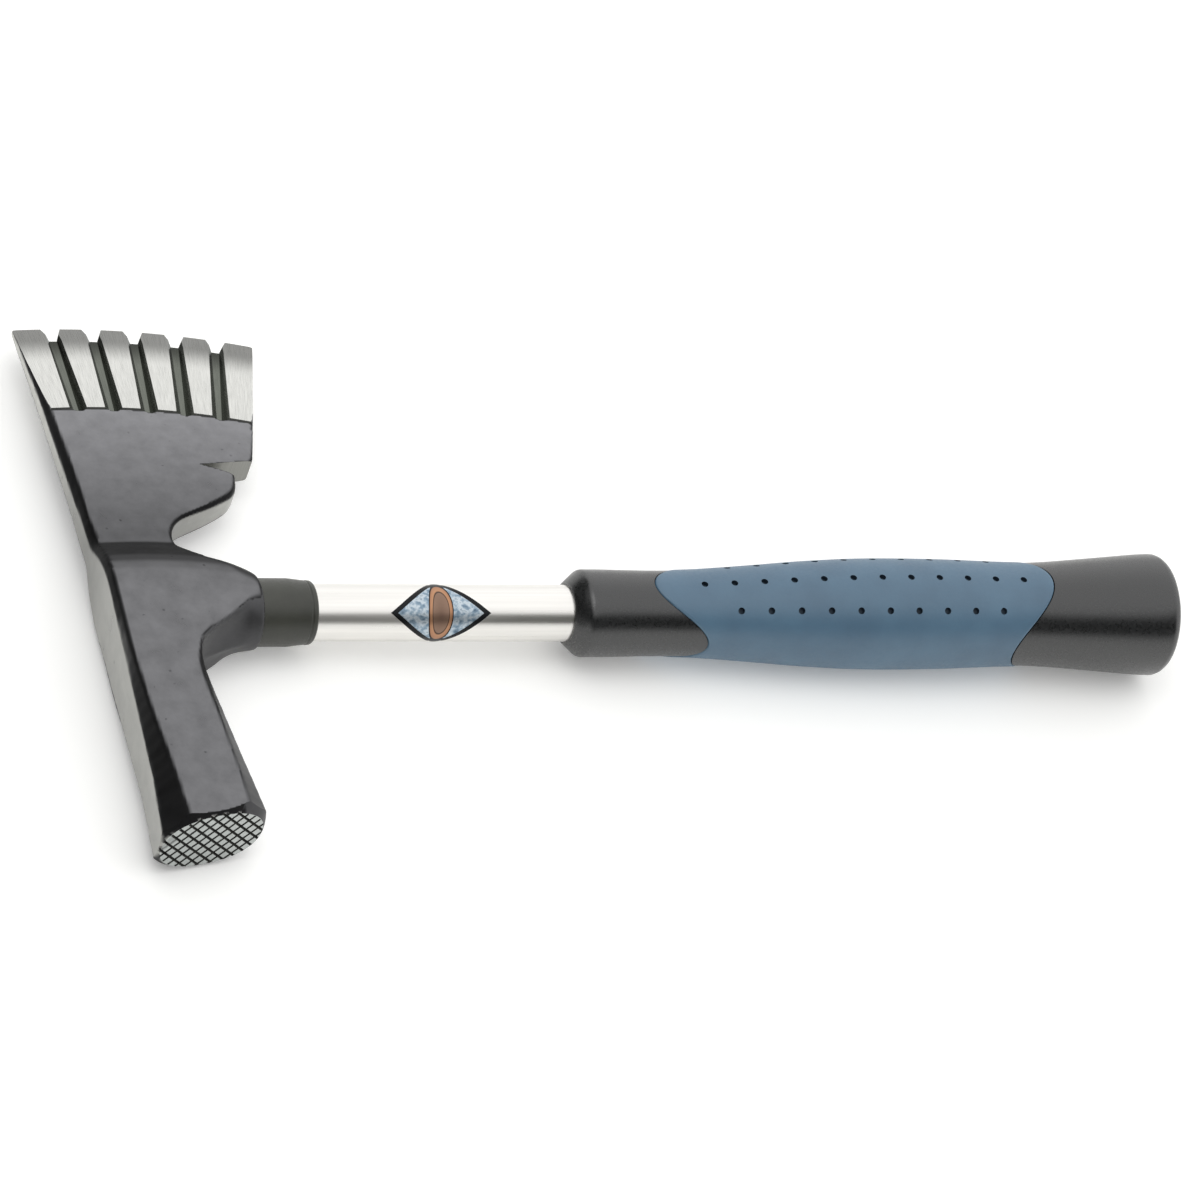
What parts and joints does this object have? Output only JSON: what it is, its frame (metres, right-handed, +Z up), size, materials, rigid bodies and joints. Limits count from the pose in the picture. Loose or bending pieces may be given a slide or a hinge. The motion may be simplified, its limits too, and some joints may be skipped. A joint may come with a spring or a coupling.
{
  "type": "toothed mason's hatchet",
  "caption": "Hand hatchet-hammer: forged head with a toothed, ground blade, nail notch and waffled striking poll on a steel tube handle with a moulded two-part grip.",
  "frame": {"origin": "middle of the underside of the tool's box as it lies on its side", "axes": "+X along the handle from the head to the butt, +Y from the striking face to the toothed edge, +Z up through the thickness of the head"},
  "size_m": [0.3274, 0.1894, 0.0355],
  "materials": {
    "head": "satin dark grey lacquer over forged steel, with ground bright blade teeth",
    "handle_tube": "bright nickel plated steel tube",
    "eye_wedge": "plain turned steel",
    "tube_end_plug": "black moulded plastic",
    "collar": "matte dark olive-grey moulded plastic",
    "grip_core": "satin black hard moulding",
    "grip_sleeve": "fine-textured steel-blue soft moulding with dimples",
    "label_foil": "printed foil, silver-blue with a copper band and black border"
  },
  "bodies": {
    "root": {"head": "head", "handle_tube": "handle_tube", "eye_wedge": "eye_wedge", "tube_end_plug": "tube_end_plug", "collar": "collar", "grip_core": "grip_core", "grip_sleeve": "grip_sleeve", "label_foil": "label_foil"}
  },
  "joints": []
}
